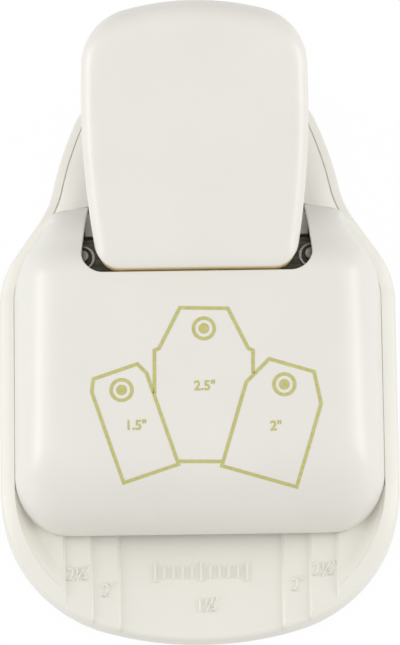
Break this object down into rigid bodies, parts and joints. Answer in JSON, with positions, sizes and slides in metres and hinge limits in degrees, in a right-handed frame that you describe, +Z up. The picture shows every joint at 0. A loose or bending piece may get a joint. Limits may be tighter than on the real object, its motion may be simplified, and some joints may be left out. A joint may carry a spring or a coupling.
{
  "type": "label punch",
  "caption": "Table-top lever punch that cuts the tops of paper tags: oval base with a stepped paper channel, tilted cover and a long rear paddle lever driving a guided blade.",
  "frame": {"origin": "middle of the footprint, on the plane the feet stand on", "axes": "+X to the user's right, +Y from the paper channel to the lever's free end, +Z up"},
  "size_m": [0.0932, 0.141, 0.0676],
  "materials": {
    "base_plastic": "moulded, slightly yellower than the cover",
    "cover_plastic": "moulded, satin gloss",
    "lever_plastic": "moulded, satin gloss",
    "die_steel": "blackened, oiled",
    "bright_steel": "ground",
    "screw_steel": "plated",
    "foot_rubber": "matte"
  },
  "bodies": {
    "housing": {"base_tray": "base_plastic", "bottom_plate": "base_plastic", "rubber_feet": "foot_rubber", "top_cover": "cover_plastic", "rear_deck": "cover_plastic", "cover_screws": "screw_steel", "deck_screws": "screw_steel", "die_plate": "die_steel", "slot_spacers": "die_steel", "guide_plate": "die_steel", "stack_rivets": "screw_steel", "die_screws": "screw_steel", "guide_posts": "bright_steel", "post_clips": "screw_steel", "return_springs": "bright_steel", "hinge_brackets": "die_steel", "bracket_rivets": "screw_steel", "hinge_pin": "bright_steel", "hinge_clips": "screw_steel"},
    "lever": {"lever_shell": "lever_plastic", "lever_yoke": "die_steel", "lever_screws": "screw_steel", "roller_pin": "bright_steel"},
    "roller": {"press_roller": "bright_steel"},
    "ram": {"ram_block": "die_steel", "punch_blade": "bright_steel", "hole_punch": "bright_steel", "guide_bushes": "bright_steel", "blade_screws": "screw_steel"}
  },
  "joints": [
    {"name": "lever_press", "type": "hinge", "parent": "housing", "child": "lever", "pos_m": [0, -0.019, 0.0289], "axis": [-1, 0, 0], "range_deg": [0, 19], "stiffness_Nm_per_rad": 1.4, "springref_deg": -12.38},
    {"name": "roller_spin", "type": "hinge", "parent": "lever", "child": "roller", "pos_m": [0, -0.00026, 0.03204], "axis": [1, 0, 0], "continuous": true},
    {"name": "ram_slide", "type": "slide", "parent": "housing", "child": "ram", "axis": [0, 0, -1], "range_m": [0, 0.0063], "deforming": ["return_springs"]}
  ],
  "couplings": [
    {"joint": "ram_slide", "follows": "lever_press", "m_per_rad": 0.018913}
  ]
}
